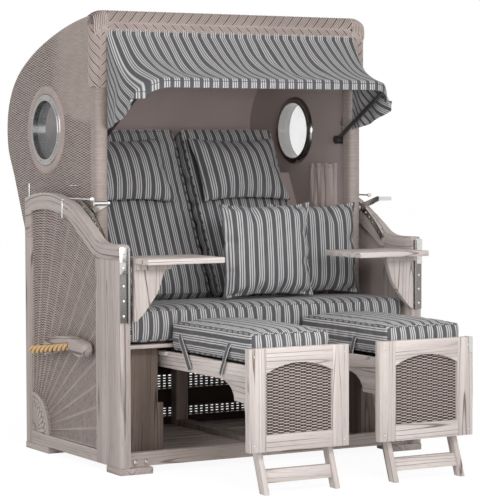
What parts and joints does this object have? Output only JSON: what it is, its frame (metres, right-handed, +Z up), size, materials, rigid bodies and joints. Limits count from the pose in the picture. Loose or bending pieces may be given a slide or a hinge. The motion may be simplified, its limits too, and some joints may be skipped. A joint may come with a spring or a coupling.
{
  "type": "hooded beach chair",
  "caption": "Two-seat beach basket with a reclining wicker hood, awning, swing tables, pull-out footrests and rope handles.",
  "frame": {"origin": "middle of the bounding box's footprint, on the floor", "axes": "+X to the sitter's left along the seat, +Y towards the back, +Z up; the front faces -Y"},
  "size_m": [1.3502, 1.745, 1.62],
  "materials": {
    "wicker": "woven flat strand, taupe",
    "wood": "whitewashed grey, matt",
    "lining": "plain taupe cloth",
    "stripe": "grey cloth with fine white stripes",
    "chrome": "polished",
    "steel": "dark coated tube",
    "rope": "laid golden rope",
    "glass": "clear pane"
  },
  "bodies": {
    "base": {"front_rail": "wood", "floor_slats": "wood", "rear_wall": "wicker", "footrest_guide": "wood", "seat_board": "wood", "seat_cushion": "stripe", "throw_pillow_left": "stripe", "throw_pillow_right": "stripe", "side_frame_left": "wood", "side_weave_left": "wicker", "foot_front_left": "wood", "foot_rear_left": "wood", "seat_box_side_left": "wood", "rope_left": "rope", "rope_bracket_left": "wood", "hood_pin_left": "chrome", "latch_rail_left": "chrome", "table_hinge_left": "chrome", "side_frame_right": "wood", "side_weave_right": "wicker", "foot_front_right": "wood", "foot_rear_right": "wood", "seat_box_side_right": "wood", "rope_right": "rope", "rope_bracket_right": "wood", "hood_pin_right": "chrome", "latch_rail_right": "chrome", "table_hinge_right": "chrome"},
    "hood": {"hood_shell": "wicker", "hood_rim": "wicker", "backrest_board": "wood", "side_pocket": "lining", "awning_fabric": "stripe", "hood_side_left": "wicker", "porthole_left": "chrome", "porthole_glass_left": "glass", "back_cushion_left": "stripe", "neck_pillow_left": "stripe", "hood_side_right": "wicker", "porthole_right": "chrome", "porthole_glass_right": "glass", "back_cushion_right": "stripe", "neck_pillow_right": "stripe"},
    "awning": {"awning_bow": "steel"},
    "latch_lever_left": {"latch_lever_left": "chrome"},
    "table_left": {"table_top_left": "wood", "table_bracket_left": "wood"},
    "footrest_left": {"footrest_front_left": "wood", "footrest_weave_left": "wicker", "footrest_tray_left": "wood", "footrest_cushion_left": "stripe"},
    "footrest_leg_left": {"footrest_leg_left": "wood"},
    "latch_lever_right": {"latch_lever_right": "chrome"},
    "table_right": {"table_top_right": "wood", "table_bracket_right": "wood"},
    "footrest_right": {"footrest_front_right": "wood", "footrest_weave_right": "wicker", "footrest_tray_right": "wood", "footrest_cushion_right": "stripe"},
    "footrest_leg_right": {"footrest_leg_right": "wood"}
  },
  "joints": [
    {"name": "hood_recline", "type": "hinge", "parent": "base", "child": "hood", "pos_m": [0, 0.32053, 0.43], "axis": [-1, 0, 0], "range_deg": [0, 25]},
    {"name": "awning_lift", "type": "hinge", "parent": "hood", "child": "awning", "pos_m": [0, 0.11253, 1.162], "axis": [-1, 0, 0], "range_deg": [0, 45], "deforming": ["awning_fabric"]},
    {"name": "latch_lever_left_lift", "type": "hinge", "parent": "hood", "child": "latch_lever_left", "pos_m": [-0.56, 0.06853, 0.9], "axis": [-1, 0, 0], "range_deg": [0, 50]},
    {"name": "table_left_swing", "type": "hinge", "parent": "base", "child": "table_left", "pos_m": [-0.594, -0.28197, 0.753], "axis": [0, 0, -1], "range_deg": [0, 90]},
    {"name": "footrest_left_slide", "type": "slide", "parent": "base", "child": "footrest_left", "axis": [0, 1, 0], "range_m": [0, 0.555], "deforming": ["footrest_cushion_left"]},
    {"name": "footrest_leg_left_fold", "type": "hinge", "parent": "footrest_left", "child": "footrest_leg_left", "pos_m": [-0.253, -0.71947, 0.365], "axis": [1, 0, 0], "range_deg": [0, 110]},
    {"name": "latch_lever_right_lift", "type": "hinge", "parent": "hood", "child": "latch_lever_right", "pos_m": [0.56, 0.06853, 0.9], "axis": [-1, 0, 0], "range_deg": [0, 50]},
    {"name": "table_right_swing", "type": "hinge", "parent": "base", "child": "table_right", "pos_m": [0.594, -0.28197, 0.753], "axis": [0, 0, 1], "range_deg": [0, 90]},
    {"name": "footrest_right_slide", "type": "slide", "parent": "base", "child": "footrest_right", "axis": [0, 1, 0], "range_m": [0, 0.555], "deforming": ["footrest_cushion_right"]},
    {"name": "footrest_leg_right_fold", "type": "hinge", "parent": "footrest_right", "child": "footrest_leg_right", "pos_m": [0.253, -0.71947, 0.365], "axis": [1, 0, 0], "range_deg": [0, 110]}
  ]
}
